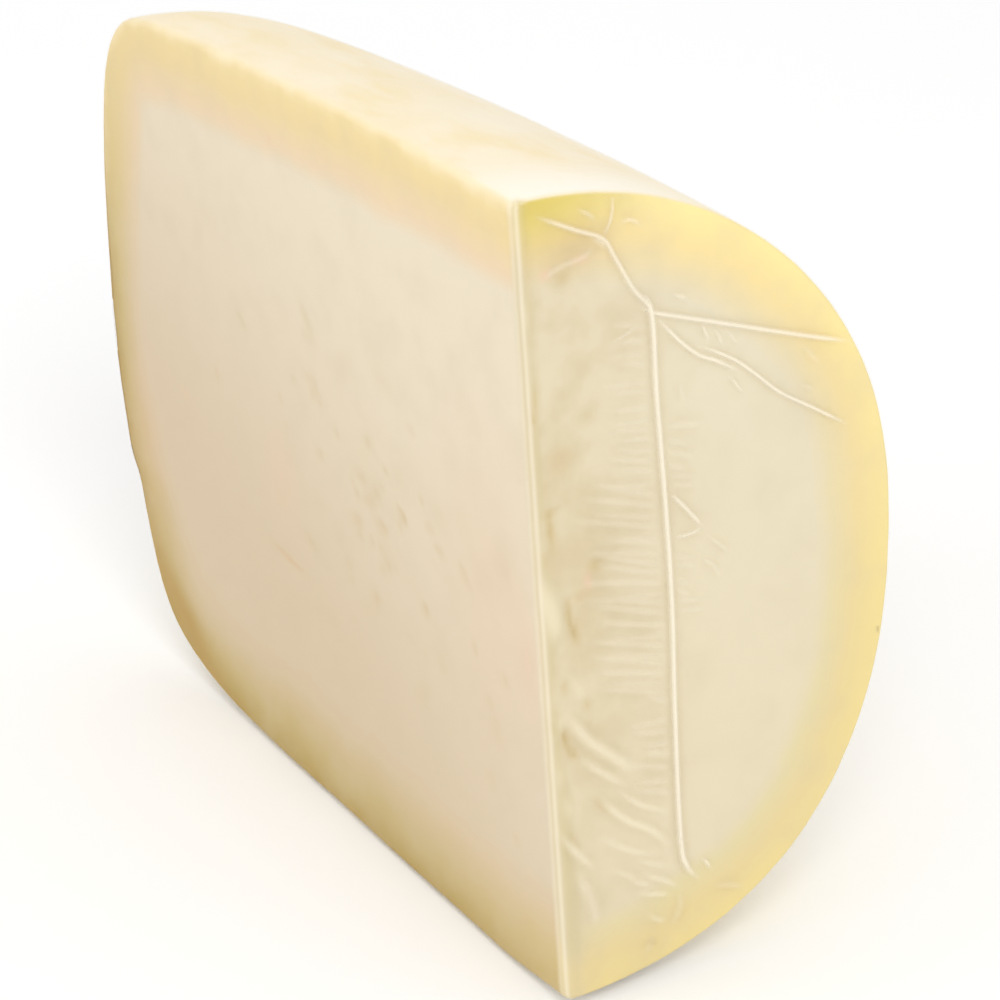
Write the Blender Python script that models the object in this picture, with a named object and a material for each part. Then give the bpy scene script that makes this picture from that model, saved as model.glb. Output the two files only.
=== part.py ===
"""Piece of hard, barrel-shaped cheese, cut lengthwise and crosswise, in a skin-tight clear film.

The piece is half of a barrel. Its long flat face is the cut through the barrel's axis and faces -Y.
Its D-shaped flat face is the cut across the barrel and faces +X. The rind covers the round side and
the far end. The piece stands on a flat that its own weight pressed into the underside of the rind.
All sizes are in metres, +Z is up, and the origin is at the middle of the box on the floor.
"""

import math

import bmesh
import bpy
from mathutils import Matrix, Vector

PIECE_NAME = "wrapped_cheese"

# The barrel, measured at the D-shaped cut face. It is deepest a little above its middle.
HALF_HEIGHT = 0.110
FOOT_HALF_HEIGHT = 1.010 * HALF_HEIGHT
DEPTH = 0.958 * HALF_HEIGHT
DEEPEST_UP = 0.07 * HALF_HEIGHT
LENGTH = 2.133 * HALF_HEIGHT
TOP_FULLNESS = 1.98
UNDERSIDE_FULLNESS = 2.38

# How the barrel's outline draws in towards the far end, and how sharply the far end closes
TOP_TAPER, UNDERSIDE_TAPER = 0.106, 0.197
TOP_CLOSING = (29.3, 1.50)
UNDERSIDE_CLOSING = (23.7, 1.69)

# Rounding of the near edge, of the long cut face's other edges, and of the D-shaped face's rim
NEAR_RADIUS = 0.0040
EDGE_RADIUS = 0.0026
RIM_RADIUS = 0.0016
MOST_OF_RING = 0.4
EDGE_STEPS = 4

# How the piece stands: the cut face leans back, and the underside has settled and is pressed flat
LEAN = math.radians(4.0)
SETTLED_FULLNESS = 2.9
SETTLED_FROM = 0.45 * HALF_HEIGHT
PRESSED_DEEP = 0.0006
PRESSED_FROM, PRESSED_TO = 0.34 * HALF_HEIGHT, 1.32 * HALF_HEIGHT
PRESSED_FRONT_FADE, PRESSED_BACK_FADE = 0.30 * HALF_HEIGHT, 0.62 * HALF_HEIGHT
PRESSED_WIDE = 0.50 * HALF_HEIGHT
PRESSED_SIDE_FADE = 0.36 * HALF_HEIGHT

# How finely the solid is divided
BODY_RINGS = 20
BODY_SHARE = 0.84
END_RINGS = 16
END_CROWDING = 1.5
END_CAP_SHARE = 0.16
ROUND_STEPS = 44
SHARP_ANGLE = math.radians(35.0)

# Creases of the film on the D-shaped face, as (out from the near edge, up from the middle)
CREASE_RADIUS = 0.00085
CREASE_SUNK = 0.00025
CREASE_START, CREASE_END = 0.8, 0.5
CREASE_SEGMENT = 0.006
MAIN_TOP = (0.0366, 0.0722)
FILM_CREASES = {
    "main": [MAIN_TOP, (0.0370, 0.0480), (0.0377, 0.0190), (0.0379, -0.0100), (0.0370, -0.0400),
             (0.0368, -0.0740), (0.0386, -0.0832), (0.0424, -0.0884)],
    "near": [MAIN_TOP, (0.0318, 0.0798), (0.0242, 0.0936), (0.0142, 0.0992)],
    "upper": [MAIN_TOP, (0.0450, 0.0685), (0.0610, 0.0608), (0.0770, 0.0548), (0.0900, 0.0490)],
    "lower": [(0.0410, 0.0680), (0.0515, 0.0585), (0.0695, 0.0442), (0.0800, 0.0352), (0.0885, 0.0285)],
}

SURFACE_COLOUR = (0.90, 0.80, 0.55, 1.0)
SURFACE_ROUGHNESS = 0.32


def clear_scene():
    for obj in list(bpy.data.objects):
        bpy.data.objects.remove(obj, do_unlink=True)


def new_collection(name, helper=False):
    made = bpy.data.collections.new(name)
    bpy.context.scene.collection.children.link(made)
    made.hide_render = helper
    return made


def surface_material():
    """Pale cheese seen through a glossy film."""
    material = bpy.data.materials.new("film_on_cheese")
    material.use_nodes = True
    shader = material.node_tree.nodes["Principled BSDF"]
    shader.inputs["Base Color"].default_value = SURFACE_COLOUR
    shader.inputs["Roughness"].default_value = SURFACE_ROUGHNESS
    shader.inputs["Metallic"].default_value = 0.0
    return material


def smooth_step(value):
    value = min(max(value, 0.0), 1.0)
    return value * value * (3.0 - 2.0 * value)


def drawn_in(along, taper, closing):
    """Share of the half height left at this share of the length: a slow taper, then a rounded end."""
    power, root = closing
    return (1.0 - taper * along**2) * max(1.0 - along**power, 0.0) ** (1.0 / root)


def ring_places():
    """Shares of the length where a ring of the side lies, closer together where the far end rounds."""
    places = [BODY_SHARE * i / BODY_RINGS for i in range(BODY_RINGS + 1)]
    power, root = TOP_CLOSING
    start = (1.0 - BODY_SHARE**power) ** (1.0 / root)
    for i in range(1, END_RINGS + 1):
        share = start + (END_CAP_SHARE - start) * (i / END_RINGS) ** END_CROWDING
        places.append((1.0 - share**root) ** (1.0 / power))
    return places


def half_ring(height, depth, fullness):
    """A quarter of the D, from the cut face out to the deepest point, as (out, up, corner rounding)."""
    radius = min(EDGE_RADIUS, MOST_OF_RING * height, MOST_OF_RING * depth)
    points = []
    for i in range(EDGE_STEPS):
        turn = math.radians(90.0 * i / EDGE_STEPS)
        out = radius * (1.0 - math.cos(turn))
        up = height * (1.0 - (out / depth) ** fullness) ** (1.0 / fullness)
        points.append((out, up, radius * (1.0 - math.sin(turn))))
    first = math.asin((radius / depth) ** (fullness / 2.0))
    steps = ROUND_STEPS // 2
    for i in range(steps):
        turn = first + (math.pi / 2.0 - first) * i / steps
        out, up = math.sin(turn) ** (2.0 / fullness), math.cos(turn) ** (2.0 / fullness)
        points.append((depth * out, height * up, 0.0))
    return points + [(depth, 0.0, 0.0)]


def d_ring(along):
    """The D at this share of the length, from the top of the long cut face round to its foot."""
    top = drawn_in(along, TOP_TAPER, TOP_CLOSING)
    foot = drawn_in(along, UNDERSIDE_TAPER, UNDERSIDE_CLOSING)
    size = (top + foot) / 2.0
    middle = DEEPEST_UP * size
    settled = smooth_step(along * LENGTH / SETTLED_FROM)
    fullness = UNDERSIDE_FULLNESS + (SETTLED_FULLNESS - UNDERSIDE_FULLNESS) * settled
    upper = half_ring(top * HALF_HEIGHT - middle, DEPTH * size, TOP_FULLNESS)
    lower = half_ring(foot * FOOT_HALF_HEIGHT + middle, DEPTH * size, fullness)
    ring = [(out, middle + up, -cut) for out, up, cut in upper]
    return ring + [(out, middle - up, cut) for out, up, cut in lower[-2::-1]]


def rounded_ring(ring, turn):
    """The ring turned in over the edge of the D-shaped face, as (distance from the face, out, up, 0)."""
    corners = [Vector((out, up + cut)) for out, up, cut in ring]
    moved = []
    for i, corner in enumerate(corners):
        after = corners[(i + 1) % len(corners)]
        first, second = (corner - corners[i - 1]).normalized(), (after - corner).normalized()
        normal = Vector((-first.y - second.y, first.x + second.x)).normalized()
        radius = RIM_RADIUS + (NEAR_RADIUS - RIM_RADIUS) * smooth_step(1.0 - corner.x / NEAR_RADIUS)
        inside = corner - radius * (1.0 - math.sin(turn)) * normal
        moved.append((radius * (1.0 - math.cos(turn)), inside.x, inside.y, 0.0))
    return moved


def all_rings():
    """Every ring's points, as (distance from the D-shaped face, out, up, corner rounding)."""
    first = d_ring(0.0)
    rings = [rounded_ring(first, math.radians(90.0 * i / EDGE_STEPS)) for i in range(EDGE_STEPS)]
    for along in ring_places():
        distance = max(along * LENGTH, NEAR_RADIUS)
        rings.append([(distance, out, up, cut) for out, up, cut in d_ring(along)])
    return rings


def press_underside(points, origins):
    """Moves the points down onto the floor and flattens the underside. Returns how far they moved."""
    floor = min(point.z for point in points) + PRESSED_DEEP
    for point, (along, out) in zip(points, origins):
        point.z = max(point.z - floor, 0.0)
        before = smooth_step((along - PRESSED_FROM) / PRESSED_FRONT_FADE + 1.0)
        behind = smooth_step((PRESSED_TO - along) / PRESSED_BACK_FADE + 1.0)
        beside = smooth_step((PRESSED_WIDE - out) / PRESSED_SIDE_FADE + 1.0)
        if point.z < HALF_HEIGHT / 2.0:
            point.z *= 1.0 - before * behind * beside
    return floor


def build_body(collection):
    """The loft through all rings, closed by the D-shaped face and the far cap.

    Returns the body, and the matrix from the barrel's own axes (-along, out, up) to the world.
    """
    rings = all_rings()
    count = len(rings[0])
    turn = Matrix.Rotation(-LEAN, 4, "Y")
    points, origins, cuts = [], [], []
    for distance, out, up, cut in (place for ring in rings for place in ring):
        points.append(turn @ Vector((-distance, out, up)))
        origins.append((distance, out))
        cuts.append(turn @ Vector((0.0, 0.0, cut)))
    floor = press_underside(points, origins)
    points = [point + cut for point, cut in zip(points, cuts)]
    faces = [list(reversed(range(count)))]
    for i in range(len(rings) - 1):
        for j in range(count):
            k = (j + 1) % count
            a, b = i * count + j, i * count + k
            faces.append([a, b, b + count, a + count])
    faces.append(list(range((len(rings) - 1) * count, len(rings) * count)))
    middle_x = (min(p.x for p in points) + max(p.x for p in points)) / 2.0
    middle_y = (min(p.y for p in points) + max(p.y for p in points)) / 2.0
    place = Matrix.Translation((-middle_x, -middle_y, 0.0))
    mesh = bpy.data.meshes.new(PIECE_NAME)
    mesh.from_pydata([place @ p for p in points], [], faces)
    mesh.validate()
    body = bpy.data.objects.new(PIECE_NAME, mesh)
    body.data.materials.append(surface_material())
    collection.objects.link(body)
    return body, place @ Matrix.Translation((0.0, 0.0, -floor)) @ turn


def route_points(corners):
    """Points at short even steps along a smooth curve through the corners."""
    ends = [2 * Vector(corners[0]) - Vector(corners[1]), 2 * Vector(corners[-1]) - Vector(corners[-2])]
    knots = [ends[0]] + [Vector(c) for c in corners] + [ends[1]]
    points = []
    for i in range(1, len(knots) - 2):
        a, b, c, d = knots[i - 1 : i + 3]
        steps = max(1, round((c - b).length / CREASE_SEGMENT))
        bend, twist = 2 * a - 5 * b + 4 * c - d, 3 * b - a - 3 * c + d
        for t in (step / steps for step in range(steps)):
            points.append(b + ((c - a) * t + bend * t**2 + twist * t**3) / 2)
    return points + [knots[-2]]


def build_crease(name, corners, collection, to_world):
    """A low round ridge of film that lies along the D-shaped face, as a closed mesh."""
    curve = bpy.data.curves.new(name, "CURVE")
    curve.dimensions = "3D"
    curve.bevel_depth = CREASE_RADIUS
    curve.bevel_resolution = 2
    curve.use_fill_caps = True
    points = route_points(corners)
    spline = curve.splines.new("POLY")
    spline.points.add(len(points) - 1)
    for place, (out, up) in zip(spline.points, points):
        place.co = (*(to_world @ Vector((-CREASE_SUNK, out, up))), 1.0)
    spline.points[0].radius = CREASE_START
    spline.points[-1].radius = CREASE_END
    guide = bpy.data.objects.new(name + "_guide", curve)
    collection.objects.link(guide)
    bpy.context.view_layer.update()
    graph = bpy.context.evaluated_depsgraph_get()
    mesh = bpy.data.meshes.new_from_object(guide.evaluated_get(graph))
    ridge = bpy.data.objects.new(name, mesh)
    ridge.matrix_world = guide.matrix_world
    weld(mesh)
    collection.objects.link(ridge)
    bpy.data.objects.remove(guide, do_unlink=True)
    return ridge


def weld(mesh):
    """Joins the loose caps of a converted curve to its sides."""
    work = bmesh.new()
    work.from_mesh(mesh)
    bmesh.ops.remove_doubles(work, verts=work.verts, dist=0.00001)
    bmesh.ops.recalc_face_normals(work, faces=work.faces)
    work.to_mesh(mesh)
    work.free()


def fuse_creases(body, creases):
    """Joins the ridges of film to the body, and removes them and their collection."""
    union = body.modifiers.new("creases", "BOOLEAN")
    union.operation = "UNION"
    union.operand_type = "COLLECTION"
    union.collection = creases
    union.solver = "MANIFOLD"
    bpy.context.view_layer.update()
    graph = bpy.context.evaluated_depsgraph_get()
    joined = bpy.data.meshes.new_from_object(body.evaluated_get(graph))
    old = body.data
    body.modifiers.clear()
    body.data = joined
    joined.name = PIECE_NAME
    bpy.data.meshes.remove(old)
    for obj in list(creases.objects):
        bpy.data.objects.remove(obj, do_unlink=True)
    bpy.data.collections.remove(creases)


def main():
    clear_scene()
    parts = new_collection("provolone_piece")
    creases = new_collection("film_creases", helper=True)
    body, to_world = build_body(parts)
    for name, corners in FILM_CREASES.items():
        build_crease(f"crease_{name}", corners, creases, to_world)
    fuse_creases(body, creases)
    body.data.shade_smooth()
    body.data.set_sharp_from_angle(angle=SHARP_ANGLE)


main()
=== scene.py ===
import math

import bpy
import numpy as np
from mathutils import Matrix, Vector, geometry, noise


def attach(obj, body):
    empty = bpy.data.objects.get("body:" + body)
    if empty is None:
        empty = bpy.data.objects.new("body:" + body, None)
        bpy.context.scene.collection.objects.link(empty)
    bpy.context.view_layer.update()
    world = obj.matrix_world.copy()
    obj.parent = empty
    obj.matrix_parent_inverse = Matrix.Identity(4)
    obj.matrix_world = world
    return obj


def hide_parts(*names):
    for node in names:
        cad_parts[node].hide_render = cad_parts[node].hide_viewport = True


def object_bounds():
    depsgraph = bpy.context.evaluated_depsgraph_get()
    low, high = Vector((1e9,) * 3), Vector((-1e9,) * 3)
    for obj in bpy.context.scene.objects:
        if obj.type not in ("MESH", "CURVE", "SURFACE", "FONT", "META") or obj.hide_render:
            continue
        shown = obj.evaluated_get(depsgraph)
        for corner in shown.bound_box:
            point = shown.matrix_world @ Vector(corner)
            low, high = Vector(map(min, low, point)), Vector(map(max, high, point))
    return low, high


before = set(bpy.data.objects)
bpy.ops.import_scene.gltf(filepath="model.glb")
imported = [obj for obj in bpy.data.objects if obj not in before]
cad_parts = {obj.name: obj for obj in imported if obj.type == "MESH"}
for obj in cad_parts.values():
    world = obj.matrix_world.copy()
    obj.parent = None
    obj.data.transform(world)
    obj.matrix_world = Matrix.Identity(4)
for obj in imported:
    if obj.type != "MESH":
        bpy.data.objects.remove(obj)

# A piece of hard, barrel-shaped cheese in skin-tight clear film: its paste, rind and film over the solid.
# Barrel axes: "along" runs from the D-shaped cut face to the far end, "out" from the long cut face to
# the deepest point of the rind, "up" from the middle of the near edge. Sizes are in metres, save where a
# comment names another unit.

CAD_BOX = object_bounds()
CAD_LOW, CAD_HIGH = np.array(CAD_BOX[0]), np.array(CAD_BOX[1])
NODE = "wrapped_cheese"

# The barrel, as the solid has it. A closing is the power and the root that round its far end.
HALF_HEIGHT = 0.110
FOOT_HALF_HEIGHT = 1.010 * HALF_HEIGHT
DEPTH = 0.958 * HALF_HEIGHT
DEEPEST_UP = 0.07 * HALF_HEIGHT
LENGTH = 2.133 * HALF_HEIGHT
TOP_FULLNESS = 1.98
UNDERSIDE_FULLNESS = 2.38
TOP_TAPER, UNDERSIDE_TAPER = 0.106, 0.197
TOP_CLOSING = (29.3, 1.50)
UNDERSIDE_CLOSING = (23.7, 1.69)
NEAR_RADIUS = 0.0040
EDGE_RADIUS = 0.0026
RIM_RADIUS = 0.0016
MOST_OF_RING = 0.4
LEAN = math.radians(4.0)
SETTLED_FULLNESS = 2.9
SETTLED_FROM = 0.45 * HALF_HEIGHT
PRESSED_DEEP = 0.0006
PRESSED_FROM, PRESSED_TO = 0.34 * HALF_HEIGHT, 1.32 * HALF_HEIGHT
PRESSED_FRONT_FADE, PRESSED_BACK_FADE = 0.30 * HALF_HEIGHT, 0.62 * HALF_HEIGHT
PRESSED_WIDE = 0.50 * HALF_HEIGHT
PRESSED_SIDE_FADE = 0.36 * HALF_HEIGHT

# How finely the skin is divided
EDGE_STEPS = 6
ROUND_STEPS = 132
FLAT_STEPS = 156
NEAR_STEP = 0.0009
NEAR_REACH = 0.011
BODY_STEP = 0.0021
BODY_SHARE = 0.84
END_RINGS = 26
END_CROWDING = 1.5
END_CAP_SHARE = 0.10
PASTE_GRID, PASTE_GRID_SEED = 0.0012, 3
FILM_GRID, FILM_GRID_SEED = 0.0014, 4
GRID_SPREAD = 0.22
GRID_TO_BORDER, GRID_TO_FOLD = 0.6, 0.55

# How far the film and the paste lie inside the solid's skin, and both inside its box
FILM_GAP = 0.00004
PASTE_GAP = 0.00042
BOX_MARGIN = 0.00002

# Added to a length, or to its square, that could be zero
TINY_LENGTH, TINY_SQUARE = 1e-12, 1e-15


def smooth_step(value):
    value = np.clip(value, 0.0, 1.0)
    return value * value * (3.0 - 2.0 * value)


def mix(first, second, share):
    return first + (second - first) * share


# The form of the barrel

def drawn_in(along, taper, closing):
    """Share of the half height left at this share of the length: a slow taper, then a rounded end."""
    power, root = closing
    return (1.0 - taper * along**2) * max(1.0 - along**power, 0.0) ** (1.0 / root)


def ring_places():
    """Distances from the D-shaped face where a ring of the side lies."""
    places = list(np.arange(NEAR_RADIUS, NEAR_REACH, NEAR_STEP))
    steps = math.ceil((BODY_SHARE * LENGTH - NEAR_REACH) / BODY_STEP)
    places += list(np.linspace(NEAR_REACH, BODY_SHARE * LENGTH, steps + 1))
    power, root = TOP_CLOSING
    start = (1.0 - BODY_SHARE**power) ** (1.0 / root)
    for i in range(1, END_RINGS + 1):
        share = start + (END_CAP_SHARE - start) * (i / END_RINGS) ** END_CROWDING
        places.append(LENGTH * (1.0 - share**root) ** (1.0 / power))
    return places


def half_ring(height, depth, fullness):
    """A quarter of the D, from the cut face out to the deepest point, as (out, up, corner rounding)."""
    radius = min(EDGE_RADIUS, MOST_OF_RING * height, MOST_OF_RING * depth)
    points = []
    for i in range(EDGE_STEPS):
        turn = math.radians(90.0 * i / EDGE_STEPS)
        out = radius * (1.0 - math.cos(turn))
        up = height * (1.0 - (out / depth) ** fullness) ** (1.0 / fullness)
        points.append((out, up, radius * (1.0 - math.sin(turn))))
    first = math.asin((radius / depth) ** (fullness / 2.0))
    steps = ROUND_STEPS // 2
    for i in range(steps):
        turn = first + (math.pi / 2.0 - first) * i / steps
        out, up = math.sin(turn) ** (2.0 / fullness), math.cos(turn) ** (2.0 / fullness)
        points.append((depth * out, height * up, 0.0))
    return points + [(depth, 0.0, 0.0)]


def d_ring(along):
    """The D at this share of the length, from the top of the long cut face round to its foot."""
    top = drawn_in(along, TOP_TAPER, TOP_CLOSING)
    foot = drawn_in(along, UNDERSIDE_TAPER, UNDERSIDE_CLOSING)
    size = (top + foot) / 2.0
    middle = DEEPEST_UP * size
    settled = float(smooth_step(along * LENGTH / SETTLED_FROM))
    fullness = mix(UNDERSIDE_FULLNESS, SETTLED_FULLNESS, settled)
    upper = half_ring(top * HALF_HEIGHT - middle, DEPTH * size, TOP_FULLNESS)
    lower = half_ring(foot * FOOT_HALF_HEIGHT + middle, DEPTH * size, fullness)
    ring = [(out, middle + up, -cut) for out, up, cut in upper]
    return np.array(ring + [(out, middle - up, cut) for out, up, cut in lower[-2::-1]])


def untangled(points):
    """The ring without the loop that the corner at its start makes where it is turned in far."""
    line = points[0, 0]
    last = int(np.nonzero(points[: 2 * EDGE_STEPS, 0] <= line)[0].max())
    if last == 0:
        return points
    before, after = points[last], points[last + 1]
    share = (line - before[0]) / (after[0] - before[0])
    corner = np.array((line, mix(before[1], after[1], share)))
    half = last // 2 + 1
    cleared = points.copy()
    for i in range(last + 1):
        if i <= half:
            cleared[i] = mix(points[0], corner, i / half)
        else:
            cleared[i] = mix(corner, after, (i - half) / (last + 1 - half))
    return cleared


def rounded_ring(ring, turn):
    """The ring turned in over the edge of the D-shaped face, as rows of (distance, out, up, 0)."""
    corners = ring[:, :2] + np.column_stack((np.zeros(len(ring)), ring[:, 2]))
    steps = np.roll(corners, -1, axis=0) - corners
    steps /= np.linalg.norm(steps, axis=1)[:, None]
    both = steps + np.roll(steps, 1, axis=0)
    normal = np.column_stack((-both[:, 1], both[:, 0]))
    normal /= np.linalg.norm(normal, axis=1)[:, None]
    near = smooth_step(1.0 - corners[:, 0] / NEAR_RADIUS)
    radius = mix(RIM_RADIUS, NEAR_RADIUS, near)
    inside = corners - (radius * (1.0 - math.sin(turn)))[:, None] * normal
    inside = untangled(untangled(inside)[::-1])[::-1]
    distance = radius * (1.0 - math.cos(turn))
    return np.column_stack((distance, inside, np.zeros(len(ring))))


def side_rings():
    """Every ring of the side, round the D only, as an array of rings by points by 4."""
    first = d_ring(0.0)
    turns = [math.radians(90.0 * i / EDGE_STEPS) for i in range(EDGE_STEPS)]
    rings = [rounded_ring(first, turn) for turn in turns]
    for distance in ring_places():
        ring = d_ring(distance / LENGTH)
        rings.append(np.column_stack((np.full(len(ring), distance), ring)))
    return np.array(rings)


def leaned(along, out, up):
    """Barrel places turned by the lean, before they are set down on the floor."""
    cosine, sine = math.cos(LEAN), math.sin(LEAN)
    return np.stack((-along * cosine - up * sine, out, -along * sine + up * cosine), axis=-1)


class Place:
    """Sets barrel places down on the floor, in the frame of the solid."""

    def __init__(self, rings):
        points = leaned(*np.moveaxis(rings[..., :3], -1, 0))
        floor = points[..., 2].min() + PRESSED_DEEP
        low, high = points.reshape(-1, 3).min(axis=0), points.reshape(-1, 3).max(axis=0)
        middle = (CAD_LOW + CAD_HIGH) / 2.0
        self.shift = np.array((middle[0] - (low[0] + high[0]) / 2.0, CAD_LOW[1] - low[1], -floor))

    def world(self, along, out, up):
        return leaned(along, out, up) + self.shift

    def pressed(self, rings):
        """The rings in the world, with the underside flattened as its weight pressed it."""
        along, out, up, cut = np.moveaxis(rings, -1, 0)
        points = self.world(along, out, up)
        points[..., 2] = np.maximum(points[..., 2], 0.0)
        before = smooth_step((along - PRESSED_FROM) / PRESSED_FRONT_FADE + 1.0)
        behind = smooth_step((PRESSED_TO - along) / PRESSED_BACK_FADE + 1.0)
        beside = smooth_step((PRESSED_WIDE - out) / PRESSED_SIDE_FADE + 1.0)
        low = points[..., 2] < HALF_HEIGHT / 2.0
        points[..., 2] *= np.where(low, 1.0 - before * behind * beside, 1.0)
        return points + leaned(np.zeros_like(cut), np.zeros_like(cut), cut)


def closed_rings(rings, points):
    """Adds the long cut face to each ring: barrel places and world points between its foot and its top."""
    shares = np.linspace(0.0, 1.0, FLAT_STEPS + 1)[1:-1, None]
    places = rings[..., :3].copy()
    places[..., 2] += rings[..., 3]
    flat_places = mix(places[:, -1:, :], places[:, :1, :], shares[None])
    flat_points = mix(points[:, -1:, :], points[:, :1, :], shares[None])
    return np.concatenate((places, flat_places), axis=1), np.concatenate((points, flat_points), axis=1)


# The film's folds on the D-shaped cut face: (height and half width in hundredths of a millimetre,
# milkiness, [(out, up) in thousandths of the half height])
MAIN_TOP = (333, 656)
UPPER_FORK = (220, 860)
RIDGES = {
    "main": (64, 78, 1.0, [(296, 715), MAIN_TOP, (336, 436), (343, 173), (345, -91), (337, -364),
        (335, -673), (349, -756), (385, -804)]),
    "near": (48, 62, 0.8, [(335, 560), MAIN_TOP, (289, 725), (250, 805), UPPER_FORK, (150, 900),
        (50, 958)]),
    "upper": (50, 62, 0.9, [(300, 685), MAIN_TOP, (409, 623), (545, 567), (700, 503), (860, 440)]),
    "lower_inner": (46, 55, 0.9, [(345, 640), (400, 570), (450, 520), (500, 490), (565, 443)]),
    "lower_outer": (45, 48, 0.9, [(455, 540), (540, 485), (600, 430), (660, 370), (750, 305),
        (845, 235)]),
    "rim": (30, 45, 0.6, [UPPER_FORK, (245, 905), (255, 970)]),
}
WRINKLES = {
    "fork_arc_near": (26, 60, 0.4, [(160, 945), (190, 925), (205, 905)]),
    "fork_arc_far": (28, 60, 0.5, [(265, 885), (295, 886), (325, 862)]),
    "fork_pinch": (30, 100, 0.5, [(190, 875), (215, 855), (245, 830)]),
    "fork_tail": (20, 90, 0.3, [(60, 805), (110, 822), (165, 830), (200, 845)]),
    "join_dash": (24, 60, 0.5, [(390, 683), (415, 670), (436, 652)]),
    "join_left": (24, 60, 0.4, [(225, 608), (262, 618), (305, 634)]),
    "rib_1": (26, 50, 0.6, [(462, 592), (472, 570), (482, 542)]),
    "rib_2": (24, 50, 0.4, [(496, 572), (507, 550), (516, 520)]),
    "rib_3": (20, 50, 0.4, [(525, 560), (540, 540), (556, 515)]),
    "lower_split": (30, 50, 0.5, [(528, 447), (550, 415), (567, 388)]),
    "rim_dash_1": (22, 70, 0.22, [(728, 465), (750, 438), (775, 405)]),
    "rim_dash_2": (22, 70, 0.22, [(715, 375), (735, 362), (755, 347)]),
    "side_dash": (20, 80, 0.22, [(398, 470), (403, 440), (408, 412)]),
    "arrow_1": (38, 60, 0.8, [(360, 200), (400, 150), (440, 94)]),
    "arrow_2": (30, 60, 0.6, [(362, 92), (400, 88), (445, 94)]),
    "arrow_3": (26, 60, 0.3, [(448, 72), (480, 40), (510, 10)]),
    "arrow_4": (22, 60, 0.3, [(430, 20), (462, -10), (480, -45)]),
    "low_swell": (28, 160, 0.3, [(60, -690), (85, -750), (100, -830)]),
    "foot_dot": (26, 110, 0.22, [(225, -945), (240, -925), (245, -905)]),
    "hook_1": (34, 60, 0.7, [(390, -746), (402, -762), (414, -785)]),
    "hook_2": (24, 90, 0.22, [(420, -832), (460, -842), (505, -862)]),
    "hook_3": (22, 100, 0.20, [(330, -815), (322, -860), (300, -900)]),
}
FANS = [
    (49, 150, 0.26, [(52, -262), (100, -340), (160, -402), (232, -472)]),
    (38, 100, 0.24, [(80, -385), (125, -430), (180, -478), (210, -500)]),
    (41, 100, 0.26, [(115, -492), (150, -535), (200, -588), (260, -632), (318, -700)]),
    (36, 80, 0.24, [(168, -492), (230, -552), (275, -580), (322, -602)]),
    (23, 70, 0.16, [(248, -428), (278, -440), (310, -452)]),
    (29, 90, 0.20, [(128, -610), (200, -665), (275, -702)]),
    (31, 80, 0.24, [(190, -735), (220, -758), (255, -772)]),
    (40, 80, 0.26, [(232, -742), (280, -768), (328, -806)]),
    (31, 70, 0.24, [(215, -785), (260, -800), (305, -816)]),
    (40, 100, 0.24, [(16, -565), (60, -628), (112, -692)]),
    (23, 80, 0.16, [(240, -850), (262, -868), (290, -880)]),
    (23, 80, 0.16, [(215, -690), (262, -722), (310, -740)]),
    (27, 90, 0.16, [(150, -700), (200, -735), (240, -760)]),
]
RIDGE_FADE, WRINKLE_FADE, FAN_FADE = 0.010, 0.004, 0.011
CREASE_SEGMENT = 0.0008

# How many of the small units of the tables make a metre, and how many make the half height
METRE_UNITS, HALF_HEIGHT_UNITS = 100000, 1000

# Soft cross waves that the main fold gathers, by stretches down its length:
# (from up, to up, step, out at the far tip, slant down towards the fold) in half heights, height in metres
GATHERS = [
    (0.62, 0.36, 0.032, 0.205, 0.028, 0.00019),
    (0.35, 0.21, 0.028, 0.205, 0.040, 0.00031),
    (0.20, -0.30, 0.0245, 0.130, 0.062, 0.00034),
    (-0.32, -0.56, 0.034, 0.225, 0.036, 0.00022),
    (0.37, 0.22, 0.029, 0.440, -0.034, 0.00026),
    (0.05, -0.12, 0.030, 0.425, -0.030, 0.00014),
]
GATHER_WIDTH = 0.00105
GATHER_MILK = 0.26
GATHER_FADE = 2.0 * WRINKLE_FADE
GATHER_FROM_FOLD = 0.012
GATHER_TIP_SPREAD, GATHER_SAG = 0.03, 0.005
GATHER_TILTS, GATHER_HEIGHTS, GATHER_STEPS = (0.5, 1.4), (0.6, 1.25), (0.8, 1.2)
GATHER_SEED = 7

# How far a fold and its shade are felt, in half widths, and how much of the fade its two ends are given
FOLD_REACH, SHADE_REACH = 3.2, 2.2
FOLD_START, FOLD_END = 0.2, 0.1
FULL_SHADE_HEIGHT = 0.0006


def curve_points(corners):
    """Points in metres at short even steps along a smooth curve through the corners."""
    knots = [np.array(c) * HALF_HEIGHT for c in corners]
    knots = [2 * knots[0] - knots[1]] + knots + [2 * knots[-1] - knots[-2]]
    points = []
    for i in range(1, len(knots) - 2):
        a, b, c, d = knots[i - 1 : i + 3]
        steps = max(1, round(float(np.linalg.norm(c - b)) / CREASE_SEGMENT))
        bend, twist = 2 * a - 5 * b + 4 * c - d, 3 * b - a - 3 * c + d
        for t in np.arange(steps) / steps:
            points.append(b + ((c - a) * t + bend * t**2 + twist * t**3) / 2)
    return np.array(points + [knots[-2]])


def main_out(up):
    """How far out the main fold lies at this height, in half heights."""
    outs, ups = np.array(RIDGES["main"][3])[::-1].T / HALF_HEIGHT_UNITS
    return float(np.interp(up, ups, outs))


def fold_lines(folds, fade):
    """Folds as (height, half width, milkiness, fade at their ends, points), all lengths in metres."""
    return [(height / METRE_UNITS, width / METRE_UNITS, milk, fade,
             curve_points(np.array(corners) / HALF_HEIGHT_UNITS))
            for height, width, milk, corners in folds]


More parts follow.
